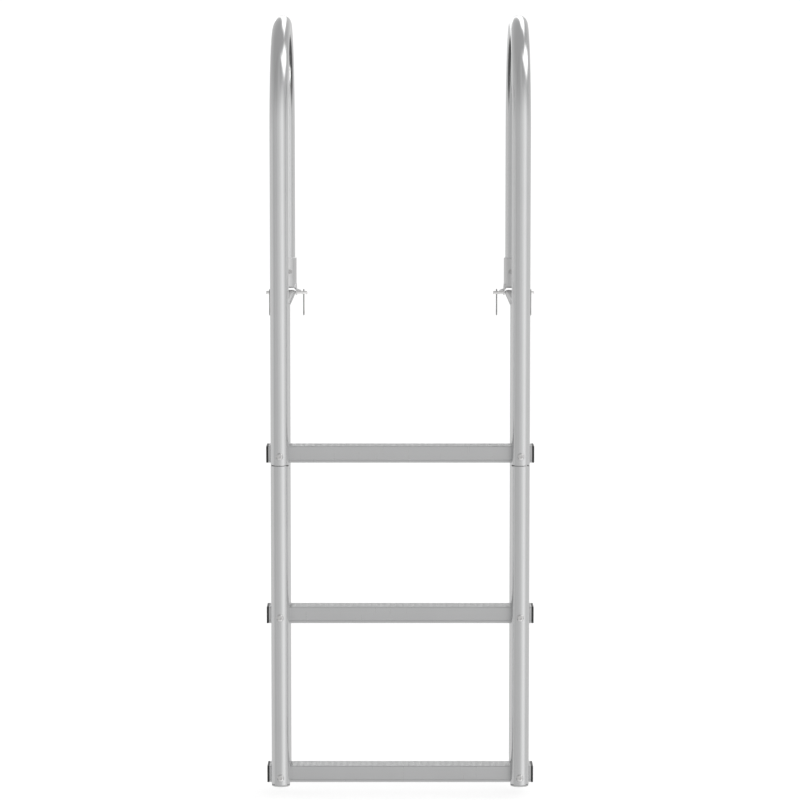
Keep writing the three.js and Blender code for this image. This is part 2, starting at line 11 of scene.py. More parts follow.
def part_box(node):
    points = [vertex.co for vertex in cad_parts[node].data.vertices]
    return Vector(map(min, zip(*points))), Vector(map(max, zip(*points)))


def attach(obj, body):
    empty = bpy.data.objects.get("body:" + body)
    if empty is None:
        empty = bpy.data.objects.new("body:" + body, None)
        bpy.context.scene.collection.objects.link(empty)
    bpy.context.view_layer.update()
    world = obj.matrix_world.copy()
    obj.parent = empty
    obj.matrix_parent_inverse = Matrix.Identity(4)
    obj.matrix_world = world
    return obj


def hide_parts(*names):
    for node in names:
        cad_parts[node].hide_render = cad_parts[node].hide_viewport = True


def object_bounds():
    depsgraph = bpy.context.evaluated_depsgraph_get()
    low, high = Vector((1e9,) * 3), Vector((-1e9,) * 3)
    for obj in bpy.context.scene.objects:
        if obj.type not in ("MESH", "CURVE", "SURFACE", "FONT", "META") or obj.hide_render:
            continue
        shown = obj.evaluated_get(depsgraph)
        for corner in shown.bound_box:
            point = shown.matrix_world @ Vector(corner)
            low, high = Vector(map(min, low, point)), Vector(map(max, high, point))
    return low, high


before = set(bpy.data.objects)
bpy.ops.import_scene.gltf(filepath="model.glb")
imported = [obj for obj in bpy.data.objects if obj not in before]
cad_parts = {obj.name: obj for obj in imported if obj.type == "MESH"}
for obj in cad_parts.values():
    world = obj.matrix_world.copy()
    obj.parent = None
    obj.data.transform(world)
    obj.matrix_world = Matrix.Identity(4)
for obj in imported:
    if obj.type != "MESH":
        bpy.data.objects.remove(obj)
cad_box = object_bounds()

MM = 0.001
SIDES = {"left": -1, "right": 1}
STEPS = ("bottom", "middle", "top")
ROUND = 64                      # sides of a tube
WALL = 1.8 * MM                 # of a tube
UP = Vector((0, 0, 1))
ACROSS = Vector((1, 0, 0))


# ---------------------------------------------------------------- places, from the CAD

def box(node):
    """A CAD node's lowest corner, highest corner and middle."""
    low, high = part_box(node)
    return low, high, (low + high) / 2


stile_low, stile_high, stile_mid = box("rear_stile_right")
rail_low, rail_high, _ = box("handrail_tube_right")
tube_radius = (stile_high.x - stile_low.x) / 2
tube_bore = tube_radius - WALL
stile_x = stile_mid.x
front_y = rail_low.y + tube_radius
rear_y = rail_high.y - tube_radius
bend_radius = (rear_y - front_y) / 2
bend_z = rail_high.z - tube_radius - bend_radius


# ---------------------------------------------------------------- mesh helpers

def mm(*pairs):
    """Pairs of millimetres in metres."""
    return [(a * MM, b * MM) for a, b in pairs]


def circle(count):
    """Evenly spaced angles once round."""
    return [2 * math.pi * i / count for i in range(count)]


def make(name, verts, faces, uvs=None, sharp=32):
    """A mesh object. uvs is one (u, v) for each corner of each face."""
    mesh = bpy.data.meshes.new(name)
    mesh.from_pydata([tuple(v) for v in verts], [], faces)
    if uvs is not None:
        layer = mesh.uv_layers.new(name="UVMap")
        layer.data.foreach_set("uv", [c for uv in uvs for c in uv])
    mesh.validate()
    return add(name, mesh, sharp)


def add(name, mesh, sharp=32):
    """Puts a mesh in the scene, smooth but for edges above the sharp angle, in degrees."""
    bm = bmesh.new()
    bm.from_mesh(mesh)
    bmesh.ops.recalc_face_normals(bm, faces=bm.faces)
    bm.to_mesh(mesh)
    bm.free()
    mesh.polygons.foreach_set("use_smooth", [True] * len(mesh.polygons))
    mesh.set_sharp_from_angle(angle=math.radians(sharp))
    piece = bpy.data.objects.new(name, mesh)
    bpy.context.scene.collection.objects.link(piece)
    return piece


def loft(name, rings, lengths, closed=False, capped=False, sharp=32):
    """Joins rings of equal count. u runs 0 to 1 round a ring, v is lengths, in metres along the rings."""
    count = len(rings[0])
    verts = [p for ring in rings for p in ring]
    faces, uvs = [], []
    spans = list(zip(range(len(rings) - 1), range(1, len(rings))))
    if closed:
        spans.append((len(rings) - 1, 0))
    for a, b in spans:
        va, vb = lengths[a], lengths[b]
        for i in range(count):
            j = (i + 1) % count
            faces.append((a * count + i, a * count + j, b * count + j, b * count + i))
            u0, u1 = i / count, (i + 1) / count
            uvs += [(u0, va), (u1, va), (u1, vb), (u0, vb)]
    if capped:
        for r in (0, len(rings) - 1):
            faces.append(tuple(r * count + i for i in range(count)))
            uvs += [(i / count, lengths[r]) for i in range(count)]
    return make(name, verts, faces, uvs, sharp)


def turned(name, profile, origin, axis, sides=48, hexed=(), sharp=32):
    """Turns (radius, height) pairs round axis. Rings listed in hexed are hexagons of that width."""
    axis = Vector(axis).normalized()
    across = axis.orthogonal().normalized()
    other = axis.cross(across)
    origin = Vector(origin)
    rings, lengths, length = [], [], 0.0
    for k, (radius, height) in enumerate(profile):
        if k:
            length += math.dist(profile[k - 1], profile[k])
        centre = origin + axis * height
        ring = []
        for angle in circle(sides):
            r = radius
            if k in hexed:
                r = radius / math.cos((angle + math.pi / 6) % (math.pi / 3) - math.pi / 6)
            ring.append(centre + across * r * math.cos(angle) + other * r * math.sin(angle))
        rings.append(ring)
        lengths.append(length)
    return loft(name, rings, lengths, capped=True, sharp=sharp)


def arc(cx, cy, radius, start, end, steps):
    """Points on an arc, angles in degrees."""
    angles = [math.radians(start + (end - start) * i / steps) for i in range(steps + 1)]
    return [(cx + radius * math.cos(a), cy + radius * math.sin(a)) for a in angles]


def rounded(width, height, radius, steps=6, cx=0.0, cy=0.0):
    """Outline of a round-cornered rectangle, anticlockwise."""
    x, y = width / 2 - radius, height / 2 - radius
    corners = ((x, -y, -90), (x, y, 0), (-x, y, 90), (-x, -y, 180))
    return [p for a, b, start in corners for p in arc(cx + a, cy + b, radius, start, start + 90, steps)]


def shrunk(outline, inset):
    """The outline moved inwards by inset along its own normals."""
    count, moved = len(outline), []
    for i in range(count):
        before, here, after = Vector(outline[i - 1]), Vector(outline[i]), Vector(outline[(i + 1) % count])
        edge = after - before
        normal = Vector((-edge.y, edge.x)).normalized() if edge.length > 1e-9 else Vector((0, 0))
        moved.append(tuple(here + normal * inset))
    return moved


def slab(name, outline, layers, place, sharp=32):
    """Stacks an outline at (height, inset) layers, and puts it in space with place(x, y, height)."""
    rings = [[place(x, y, height) for x, y in shrunk(outline, inset)] for height, inset in layers]
    lengths = [0.0]
    for (h0, i0), (h1, i1) in zip(layers, layers[1:]):
        lengths.append(lengths[-1] + math.hypot(h1 - h0, i1 - i0))
    return loft(name, rings, lengths, capped=True, sharp=sharp)


def joined(name, pieces, sharp=32):
    """One object from several, in the first one's place."""
    bm = bmesh.new()
    for piece in pieces:
        bm.from_mesh(piece.data)
        bpy.data.objects.remove(piece)
    mesh = bpy.data.meshes.new(name)
    bm.to_mesh(mesh)
    bm.free()
    return add(name, mesh, sharp)


def evaluated(piece, name, sharp=32):
    """The piece with its modifiers applied, as a new object."""
    graph = bpy.context.evaluated_depsgraph_get()
    mesh = bpy.data.meshes.new_from_object(piece.evaluated_get(graph))
    bpy.data.objects.remove(piece)
    mesh.name = name
    return add(name, mesh, sharp)


def bored(piece, cutters, sharp=32):
    """Cuts the cutters out of the piece."""
    for cutter in cutters:
        cut = piece.modifiers.new("cut", "BOOLEAN")
        cut.operation, cut.solver, cut.object = "DIFFERENCE", "EXACT", cutter
    name = piece.name
    piece.name = name + "_uncut"
    result = evaluated(piece, name, sharp)
    for cutter in cutters:
        bpy.data.objects.remove(cutter)
    return result


def done(piece, body, finish, node):
    """Gives a piece its material, and puts it in the place of a CAD node."""
    assert len(piece.data.polygons) > 5, f"{piece.name} is empty"
    piece.data.materials.clear()
    piece.data.materials.append(finish)
    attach(piece, body)
    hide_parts(node)


# ---------------------------------------------------------------- materials

class Nodes:
    """Short calls for the nodes of a node tree."""

    def __init__(self, tree):
        self.tree = tree

    def node(self, kind, inputs=(), **settings):
        node = self.tree.nodes.new("ShaderNode" + kind)
        for key, value in settings.items():
            setattr(node, key, value)
        for key, value in dict(inputs).items():
            self.put(node.inputs[key], value)
        return node

    def put(self, socket, value):
        if isinstance(value, bpy.types.NodeSocket):
            self.tree.links.new(value, socket)
        else:
            socket.default_value = value

    def math(self, operation, *values):
        return self.node("Math", enumerate(values), operation=operation).outputs[0]

    def window(self, fac, start, end, low=0.0, high=1.0):
        inputs = {0: fac, 1: start, 2: end, 3: low, 4: high}
        return self.node("MapRange", inputs, interpolation_type="SMOOTHSTEP").outputs[0]


class Finish(Nodes):
    """A material with a Principled shader."""

    def __init__(self, name, **constants):
        self.material = bpy.data.materials.new(name)
        self.material.use_nodes = True
        super().__init__(self.material.node_tree)
        self.shader = self.tree.nodes["Principled BSDF"]
        for socket, value in constants.items():
            self.shader.inputs[socket.replace("_", " ")].default_value = value

    def noise(self, coords, scale, detail=3.0, rough=0.55):
        inputs = {"Vector": coords, "Scale": scale, "Detail": detail, "Roughness": rough}
        return self.node("TexNoise", inputs).outputs["Fac"]

    def stretch(self, coords, scale):
        return self.node("Mapping", {"Vector": coords, "Scale": scale}).outputs[0]

    def place(self):
        return self.node("TexCoord").outputs["Object"]

    def between(self, fac, low, high):
        """fac 0..1 to low..high, held at both ends."""
        return self.node("MapRange", {0: fac, 3: low, 4: high}).outputs[0]

    def tint(self, fac, low, high):
        ramp = self.node("ValToRGB", {"Fac": fac})
        for element, colour in zip(ramp.color_ramp.elements, (low, high)):
            element.color = (*colour, 1)
        return ramp.outputs[0]

    def bump(self, height, distance, strength=1.0, under=None):
        inputs = {"Height": height, "Distance": distance, "Strength": strength}
        if under is not None:
            inputs["Normal"] = under
        return self.node("Bump", inputs).outputs[0]

    def finish(self, colour=None, roughness=None, normal=None):
        for socket, value in (("Base Color", colour), ("Roughness", roughness), ("Normal", normal)):
            if value is not None:
                self.put(self.shader.inputs[socket], value)
        return self.material

    def drum(self, radius):
        """Seamless coordinates on a round piece, from UVs with u round it and v along it."""
        split = self.node("SeparateXYZ", {0: self.node("UVMap", uv_map="UVMap").outputs[0]})
        angle = self.math("MULTIPLY", split.outputs[0], 2 * math.pi)
        x = self.math("MULTIPLY", self.math("COSINE", angle), radius)
        y = self.math("MULTIPLY", self.math("SINE", angle), radius)
        return self.node("CombineXYZ", {0: x, 1: y, 2: split.outputs[1]}).outputs[0]


def grey(value, warm=0.0):
    """A linear colour, a little redder than neutral where warm is above 0."""
    return (value * (1 + warm), value, value * (1 - warm))


def drawn_aluminium(name, base, rough, coords_for, along, fine):
    """Satin anodised aluminium: die lines along the piece, light handling marks, hairline scratches."""
    f = Finish(name, Metallic=1.0)
    coords = coords_for(f)
    lines = f.noise(f.stretch(coords, along), fine, 4, 0.65)
    clouds = f.noise(coords, 14, 3)
    grain = f.noise(coords, 2600, 2)
    marks = f.window(f.noise(f.stretch(coords, (1, 1, 0.22)), 55, 5, 0.7), 0.60, 0.72)
    slanted = {"Vector": coords, "Rotation": (0.5, 0.3, 0.4), "Scale": (1, 1, 0.02)}
    scratches = f.window(f.noise(f.node("Mapping", slanted).outputs[0], 900, 1), 0.735, 0.76)
    tone = f.math("ADD", f.math("MULTIPLY", lines, 0.55), f.math("MULTIPLY", clouds, 0.45))
    tone = f.math("SUBTRACT", tone, f.math("MULTIPLY", marks, 0.06))
    colour = f.tint(tone, grey(base * 0.93, -0.004), grey(base * 1.07, -0.004))
    roughness = f.math("ADD", f.between(lines, rough - 0.05, rough + 0.05), f.between(clouds, -0.04, 0.04))
    roughness = f.math("ADD", roughness, f.math("MULTIPLY", marks, 0.07))
    roughness = f.math("SUBTRACT", roughness, f.math("MULTIPLY", scratches, 0.08))
    normal = f.bump(lines, 0.012 * MM, 0.7)
    normal = f.bump(grain, 0.004 * MM, 0.6, normal)
    normal = f.bump(scratches, 0.01 * MM, 0.5, normal)
    return f.finish(colour, roughness, normal)


def cast_aluminium():
    """Linished casting: faint sand texture, a few pits."""
    f = Finish("cast_aluminium", Metallic=1.0)
    place = f.place()
    sand = f.noise(place, 900, 5, 0.65)
    pits = f.window(f.noise(place, 1500, 2), 0.34, 0.22)
    clouds = f.noise(place, 45, 4)
    tone = f.math("ADD", f.math("MULTIPLY", sand, 0.5), f.math("MULTIPLY", clouds, 0.5))
    colour = f.tint(f.math("SUBTRACT", tone, f.math("MULTIPLY", pits, 0.2)), grey(0.62), grey(0.76))
    roughness = f.math("ADD", f.between(sand, 0.26, 0.36), f.between(clouds, -0.04, 0.04))
    normal = f.bump(pits, -0.04 * MM, 0.7, f.bump(sand, 0.02 * MM, 0.7))
    return f.finish(colour, roughness, normal)


def bar_aluminium():
    """Flat bar, fine lines along Y."""
    f = Finish("bar_aluminium", Metallic=1.0, Specular_Tint=(0.8, 0.8, 0.8, 1))
    place = f.place()
    lines = f.noise(f.stretch(place, (1, 0.015, 1)), 2200, 4, 0.65)
    clouds = f.noise(place, 30, 4)
    scuffs = f.window(f.noise(f.stretch(place, (1, 0.4, 1)), 160, 5, 0.7), 0.60, 0.68)
    tone = f.math("ADD", f.math("MULTIPLY", lines, 0.5), f.math("MULTIPLY", clouds, 0.5))
    colour = f.tint(f.math("ADD", tone, f.math("MULTIPLY", scuffs, 0.15)), grey(0.58), grey(0.72))
    roughness = f.math("ADD", f.between(lines, 0.40, 0.52), f.math("MULTIPLY", scuffs, 0.1))
    normal = f.bump(scuffs, -0.02 * MM, 0.6, f.bump(lines, 0.015 * MM, 0.8))
    return f.finish(colour, roughness, normal)


def bright_steel(name, rough, low, high):
    """Turned or drawn stainless steel: fine rings across the v direction, a few tool marks."""
    f = Finish(name, Metallic=1.0)
    place = f.place()
    rings = f.noise(f.stretch(f.drum(1.0), (0.02, 0.02, 1)), 5200, 3, 0.6)
    clouds = f.noise(place, 220, 4)
    spots = f.window(f.noise(place, 900, 3, 0.7), 0.66, 0.74)
    tone = f.math("SUBTRACT", clouds, f.math("MULTIPLY", spots, 0.25))
    colour = f.tint(tone, grey(low, 0.006), grey(high, 0.006))
    roughness = f.math("ADD", f.between(rings, rough, rough + 0.1), f.between(clouds, -0.03, 0.05))
    return f.finish(colour, roughness, f.bump(rings, 0.008 * MM, 0.6))


def moulded_plastic(name, low, high, rough, scuff):
    """Spark-textured plastic with scuffed, paler patches."""
    f = Finish(name, Specular_IOR_Level=0.4)
    place = f.place()
    texture = f.noise(place, 2600, 3, 0.6)
    clouds = f.noise(place, 70, 4)
    worn = f.window(f.noise(place, 320, 6, 0.75), 0.58, 0.70)
    tone = f.math("ADD", f.between(clouds, 0.0, 0.6), f.math("MULTIPLY", worn, scuff))
    roughness = f.between(texture, rough - 0.08, rough + 0.08)
    roughness = f.math("ADD", roughness, f.math("MULTIPLY", worn, 0.12))
    normal = f.bump(worn, -0.02 * MM, 0.5, f.bump(texture, 0.03 * MM, 0.7))
    return f.finish(f.tint(tone, low, high), roughness, normal)


def rubber():
    """Dull black rubber, dusty in patches."""
    f = Finish("rubber", Specular_IOR_Level=0.25)
    place = f.place()
    skin = f.noise(place, 1400, 4, 0.6)
    dust = f.window(f.noise(place, 180, 6, 0.7), 0.48, 0.75)
    colour = f.tint(f.math("MULTIPLY", dust, 0.7), grey(0.016, 0.02), grey(0.07, 0.05))
    return f.finish(colour, f.between(dust, 0.72, 0.92), f.bump(skin, 0.05 * MM, 0.8))


def studio(name, value, glow):
    """Pale matt floor with a little light of its own, so that it is evenly white."""
    return Finish(name, Roughness=0.95, Specular_IOR_Level=0.1, Emission_Strength=glow,
                  Base_Color=(value, value, value, 1), Emission_Color=(1, 1, 1, 1)).material


tube_finish = drawn_aluminium(
    "tube_aluminium", 0.70, 0.20, lambda f: f.drum(16 * MM), (1, 1, 0.006), 1900)
step_finish = drawn_aluminium(
    "step_aluminium", 0.60, 0.34, Finish.place, (0.006, 1, 1), 1900)
cast_finish = cast_aluminium()
bar_finish = bar_aluminium()
pin_finish = bright_steel("pin_steel", 0.06, 0.84, 0.94)
wire_finish = bright_steel("wire_steel", 0.22, 0.32, 0.42)
bolt_finish = bright_steel("bolt_steel", 0.24, 0.66, 0.78)
rivet_finish = bright_steel("rivet_steel", 0.35, 0.52, 0.62)
cap_finish = moulded_plastic("black_plastic", grey(0.012), grey(0.05), 0.48, 0.5)
plug_finish = moulded_plastic("grey_plastic", grey(0.40), grey(0.52), 0.45, 0.3)
rubber_finish = rubber()


# ---------------------------------------------------------------- tubes

TUBE_EDGE = 0.9 * MM            # rounding of a tube's cut end
BEND_STEPS = 120
RAIL_FOOT = 24.3 * MM           # height of the handrail's rear end, inside its socket


def tube(name, route):
    """A hollow tube along route, a list of (centre, tangent, distance). The section turns about X."""
    angles = circle(ROUND)

    def ring(station, radius, shift=0.0):
        centre, tangent, _ = station
        other = tangent.cross(ACROSS)
        spokes = [ACROSS * math.cos(a) + other * math.sin(a) for a in angles]
        return [centre + tangent * shift + radius * spoke for spoke in spokes]

    first, last = route[0], route[-1]
    lip = [(tube_bore, 0.0), (tube_bore + 0.2 * MM, 0.0), (tube_radius - TUBE_EDGE, 0.0),
           (tube_radius - TUBE_EDGE * 0.5, TUBE_EDGE * 0.13),
           (tube_radius - TUBE_EDGE * 0.13, TUBE_EDGE * 0.5),
           (tube_radius, TUBE_EDGE), (tube_radius, TUBE_EDGE * 2)]
    rings, lengths = [], []
    for radius, inward in lip:
        rings.append(ring(first, radius, inward))
        lengths.append(inward)
    for station in route[1:-1]:
        rings.append(ring(station, tube_radius))
        lengths.append(station[2])
    for radius, inward in reversed(lip):
        rings.append(ring(last, radius, -inward))
        lengths.append(last[2] - inward)
    for station in reversed(route[1:-1]):
        rings.append(ring(station, tube_bore))
        lengths.append(station[2])
    return loft(name, rings, lengths, closed=True, sharp=40)


def straight(x, y, z0, z1, steps=6):
    """Route of an upright tube."""
    climbs = [(z1 - z0) * i / steps for i in range(steps + 1)]
    return [(Vector((x, y, z0 + climb)), UP, climb) for climb in climbs]


def arched(x, z_front, z_rear):
    """Route of a handrail: up the front, over a half circle, down the rear."""
    route = straight(x, front_y, z_front, bend_z)
    start = route[-1][2]
    middle = (front_y + rear_y) / 2
    for i in range(1, BEND_STEPS + 1):
        a = math.pi * i / BEND_STEPS
        centre = Vector((x, middle - bend_radius * math.cos(a), bend_z + bend_radius * math.sin(a)))
        route.append((centre, Vector((0, math.sin(a), math.cos(a))), start + bend_radius * a))
    start = route[-1][2]
    for i in range(1, 5):
        drop = (bend_z - z_rear) * i / 4
        route.append((Vector((x, rear_y, bend_z - drop)), -UP, start + drop))
    return route


for label, side in SIDES.items():
    x = side * stile_x
    node = f"handrail_tube_{label}"
    low, _, _ = box(node)
    piece = tube(f"handrail_{label}", arched(x, low.z, RAIL_FOOT))
    done(piece, "ladder", tube_finish, node)
    for part, y in (("lower_stile", front_y), ("rear_stile", stile_mid.y)):
        node = f"{part}_{label}"
        low, high, _ = box(node)
        piece = tube(f"{part}_tube_{label}", straight(x, y, low.z, high.z))
        done(piece, "ladder", tube_finish, node)


# ---------------------------------------------------------------- steps

RIBS = 9
RIB_HEIGHT = 1.2 * MM
RIB = [(-0.04, 0.0, 1), (0.0, -0.12 * MM, 1), (0.12, 0.1 * MM - RIB_HEIGHT, 0), (0.15, -RIB_HEIGHT, 0),
       (0.35, -RIB_HEIGHT, 0), (0.38, 0.1 * MM - RIB_HEIGHT, 0), (0.5, -0.12 * MM, 1), (0.54, 0.0, 1)]
GROOVE = mm((0, 0.9), (0.15, 0.7), (0.6, 0), (0.15, -0.7), (0, -0.9))       # (depth, height) of its outline
GROOVE_HEIGHT = 5 * MM
TOOTH_PITCH = 10.8 * MM
TOOTH_DEPTH = 0.5 * MM
TOOTH = ((0.50, 0.0), (0.60, 0.7), (0.68, 1.0), (0.82, 1.0), (0.90, 0.7), (1.0, 0.0))
PLAIN_ENDS = 12 * MM            # length without teeth, both ends together
STEP_CORNER = 2.2 * MM
STEP_WALL, STEP_WEB, STEP_ROOF = 1.8 * MM, 1.6 * MM, 3.4 * MM


def step_section(depth, height):
    """The step's outline as (y, z, share of a tooth's cut) from the bottom rear corner, anticlockwise."""
    half, corner = depth / 2, STEP_CORNER
    points = [(y, z, 0.0) for y, z in arc(half - corner, -height + corner, corner, -90, 0, 6)]
    points += [(y, z, 0.0) for y, z in arc(half - corner, -corner, corner, 0, 90, 6)]
    pitch = (depth - 2 * corner) / (RIBS - 0.5)
    for i in range(RIBS - 1):
        top = half - corner - pitch * (i + 0.5)
        points += [(top - pitch * along, z, share) for along, z, share in RIB]
    points += [(y, z, 0.0) for y, z in arc(-half + corner, -corner, corner, 90, 180, 6)]
    points += [(y - half, z - height + GROOVE_HEIGHT, 0.0) for y, z in GROOVE]
    points += [(y, z, 0.0) for y, z in arc(-half + corner, -height + corner, corner, 180, 270, 6)]
    return points


def step_piece(name, low, high):
    """A hollow extrusion with two cells and serrated ribs."""
    middle_y, top = (low.y + high.y) / 2, high.z
    depth, height, length = high.y - low.y, high.z - low.z, high.x - low.x
    section = step_section(depth, height)
    places = [(low.x, 0.0)]
    teeth = int((length - PLAIN_ENDS) / TOOTH_PITCH)
    start = low.x + (length - teeth * TOOTH_PITCH) / 2
    for i in range(teeth):
        x = start + i * TOOTH_PITCH
        places += [(x + along * TOOTH_PITCH, cut) for along, cut in TOOTH]
    places.append((high.x, 0.0))
    bm = bmesh.new()

    def shell(stations, outline):
        rings = [[bm.verts.new(p) for p in outline(*station)] for station in stations]
        count = len(rings[0])
        for a, b in zip(rings, rings[1:]):
            for i in range(count):
                j = (i + 1) % count
                bm.faces.new((a[i], a[j], b[j], b[i]))
        return rings[0], rings[-1]

    def outer(x, cut):
        return [(x, middle_y + y, top + z - share * cut * TOOTH_DEPTH) for y, z, share in section]

    ends = [shell(places, outer)]
    cell = (depth - 2 * STEP_WALL - STEP_WEB) / 2
    cell_height = height - STEP_WALL - STEP_ROOF
    for sign in (-1, 1):
        centre_y = middle_y + sign * (STEP_WEB + cell) / 2
        hollow = rounded(cell, cell_height, 0.8 * MM, 3, centre_y, top - STEP_ROOF - cell_height / 2)
        ends.append(shell([(low.x, 0), (high.x, 0)], lambda x, cut, h=hollow: [(x, y, z) for y, z in h]))
    for k in (0, 1):
        edges = [bm.edges.get((ring[k][i - 1], ring[k][i])) for ring in ends for i in range(len(ring[k]))]
        bmesh.ops.triangle_fill(bm, edges=edges, use_beauty=True, use_dissolve=False)
    mesh = bpy.data.meshes.new(name)
    bm.to_mesh(mesh)
    bm.free()
    return add(name, mesh, 28)


for which in STEPS:
    node = f"step_{which}"
    low, high, _ = box(node)
    done(step_piece(f"tread_{which}", low, high), "ladder", step_finish, node)


PLATE = 3.5 * MM
PLATE_LAYERS = mm((0, 0.25), (0.12, 0.05), (0.3, 0), (2.5, 0), (2.9, 0.1), (3.25, 0.35), (3.45, 0.75),
                  (3.5, 1.2), (3.5, 1.9), (3.4, 2.05), (3.0, 2.15))
SPIGOT_PLAY = 1 * MM            # between a spigot and its cell, both sides together
SPIGOT_LAYERS = mm((-8, 1.2), (-7.4, 0.4), (-3, 0.1), (0.4, 0.1))


def cap_piece(name, side, low, high):
    """End cap: plate with a raised rim, and two spigots in the step's cells."""
    outside = high.x if side > 0 else low.x
    mid_y, mid_z = (low.y + high.y) / 2, (low.z + high.z) / 2
    depth, height = high.y - low.y, high.z - low.z

    def put(y, z, h):
        return Vector((outside - side * (PLATE - h), mid_y + y, mid_z + z))

    pieces = [slab(f"{name}_face", rounded(depth, height, STEP_CORNER), PLATE_LAYERS, put)]
    cell = (depth - 2 * STEP_WALL - STEP_WEB) / 2
    cell_height = height - STEP_WALL - STEP_ROOF
    centre_z = (STEP_WALL - STEP_ROOF) / 2
    for sign in (-1, 1):
        centre_y = sign * (cell + STEP_WEB) / 2
        spigot = rounded(cell - SPIGOT_PLAY, cell_height - SPIGOT_PLAY, 1.2 * MM, 3, centre_y, centre_z)
        pieces.append(slab(f"{name}_spigot", spigot, SPIGOT_LAYERS, put))
    return joined(name, pieces)


for label, side in SIDES.items():
    for which in STEPS:
        node = f"step_cap_{which}_{label}"
        low, high, _ = box(node)
        piece = cap_piece(f"end_cap_{which}_{label}", side, low, high)
        done(piece, "ladder", cap_finish, node)


# ---------------------------------------------------------------- plugs, bolts, nuts, rivets

def plug_piece(name, node, outward):
    """Push-in plug: crowned flange with a shallow ring, ribbed barrel inside the tube."""
    low, high, mid = box(node)
    rim = (high.x - low.x) / 2 / MM
    face = low.z if outward < 0 else high.z
    barrel = [(0.4, -9.5), (11.5, -9.5), (12.2, -9.2), (12.9, -8.4), (13.4, -5.0), (13.0, -4.6),
              (13.5, -4.2), (13.5, -2.6)]
    flange = [(rim - 0.2, -2.5), (rim, -2.3), (rim, -1.0), (rim - 0.25, -0.45), (rim - 0.8, -0.1),
              (rim - 1.6, 0)]
    top = [(11.2, 0), (10.8, -0.3), (10.2, -0.3), (9.8, 0), (2.6, 0), (2.2, -0.4), (0.4, -0.4)]
    return turned(name, mm(*barrel, *flange, *top), (mid.x, mid.y, face), (0, 0, outward), 64)


# (radius, height) from the middle of a head, over it and down the shank. Its seat is at height 0.
BOLT_TOP, NUT_TOP = 3.0, 2.4    # heights of the heads, in mm
BOLT_HEAD = mm((0.6, 1.0), (2.0, 0.9), (2.0, 1.3), (2.0, 2.72), (2.35, 2.95), (2.9, BOLT_TOP), (3.7, 2.88),
               (4.6, 2.5), (5.3, 1.9), (5.75, 1.2), (6.0, 0.55), (6.0, 0.2), (5.8, 0.0), (3.0, 0.0),
               (3.0, -3.0), (0.5, -3.0))
NUT_HEAD = mm((0.6, 0.9), (2.0, 0.8), (2.0, 1.2), (2.0, 2.12), (2.35, 2.35), (3.2, NUT_TOP), (4.4, 2.25),
              (5.3, 1.8), (5.8, 1.15), (6.0, 0.6), (6.0, 0.2), (5.8, 0.0), (4.0, 0.0), (4.0, -3.0),
              (0.5, -3.0))
RIVET_HEAD = mm((0.3, 0.5), (1.0, 0.55), (1.15, 0.9), (1.35, 1.3), (1.7, 1.4), (2.4, 1.28), (3.2, 0.95),
                (3.75, 0.5), (4.0, 0.15), (3.9, 0.0), (2.4, 0.0), (2.4, -2.0), (0.4, -2.0))
HEXED = (1, 2, 3)               # a head's hexagonal rings, the walls of its key socket

for label, side in SIDES.items():
    for part, outward in (("front_foot_plug", -1), ("rear_foot_plug", -1), ("rear_top_plug", 1)):
        node = f"{part}_{label}"
        piece = plug_piece(f"{part}_moulding_{label}", node, outward)
        done(piece, "ladder", plug_finish, node)
    for which in STEPS:
        node = f"step_bolt_{which}_{label}"
        low, _, mid = box(node)
        seat = (side * stile_x, low.y + BOLT_TOP * MM, mid.z)
        piece = turned(f"bolt_{which}_{label}", BOLT_HEAD, seat, (0, -1, 0), 48, HEXED, 26)
        done(piece, "ladder", bolt_finish, node)
        node = f"step_nut_{which}_{label}"
        _, high, mid = box(node)
        seat = (side * stile_x, high.y - NUT_TOP * MM, mid.z)
        piece = turned(f"nut_{which}_{label}", NUT_HEAD, seat, (0, 1, 0), 48, HEXED, 26)
        done(piece, "ladder", bolt_finish, node)


# ---------------------------------------------------------------- sockets and rivets

EAR_OUTER, EAR_INNER = 18.8 * MM, 16.5 * MM                     # an ear's faces, from the socket's middle
SLEEVE = 18.5 * MM              # its radius
SLEEVE_OUTLINE = mm((1, 17), (18, 17), (18.5, 17.5), (18.5, 66), (18.5, 69), (18.2, 69.7), (17.6, 70),
                    (1, 70))
SHOULDER_FRONT = 12 * MM        # from the sleeve's axis
FORK_TOP = 15 * MM              # height of the gap between the ears
EAR_TOP = FORK_TOP + 3.5 * MM   # inside the shoulder
FILLET, FILLET_FRONT = 4.5 * MM, 8.5 * MM                       # its radius, its front from the sleeve's axis
LUG = ((17.5, 7.8), (20.5, 6.9), (23.5, 5.8), (26.3, 4.7))      # (reach sideways, top above the pin), in mm
LUG_FOOT, LUG_HALF = 3.4, 2.2   # its underside above the pin, its half width, in mm
VOXEL = 0.45 * MM
TUBE_BORE = mm((0.5, 24), (16, 24), (16.3, 24.3), (16.3, 69.3), (17.2, 70.4), (17.2, 72), (0.5, 72))
EAR_BORE = mm((0.5, -24), (3.9, -24), (3.9, -20.2), (3.2, -19.5), (3.2, 19.5), (3.9, 20.2), (3.9, 24),
              (0.5, 24))
RIVET_ANGLE = math.radians(22)  # the rivet's place round the sleeve, from the front towards the middle
RIVET_SEAT = 18.6 * MM


def lug_piece(pin, side):
    """Tapered lug on an ear's outer face, just above the pin."""
    rings = []
    for reach, top in LUG:
        outline = rounded(2 * LUG_HALF, top - LUG_FOOT, 0.5, 3, 0, (top + LUG_FOOT) / 2)
        rings.append([pin + Vector((side * reach, y, z)) * MM for y, z in outline])
    return loft("lug", rings, [reach * MM for reach, _ in LUG], capped=True)


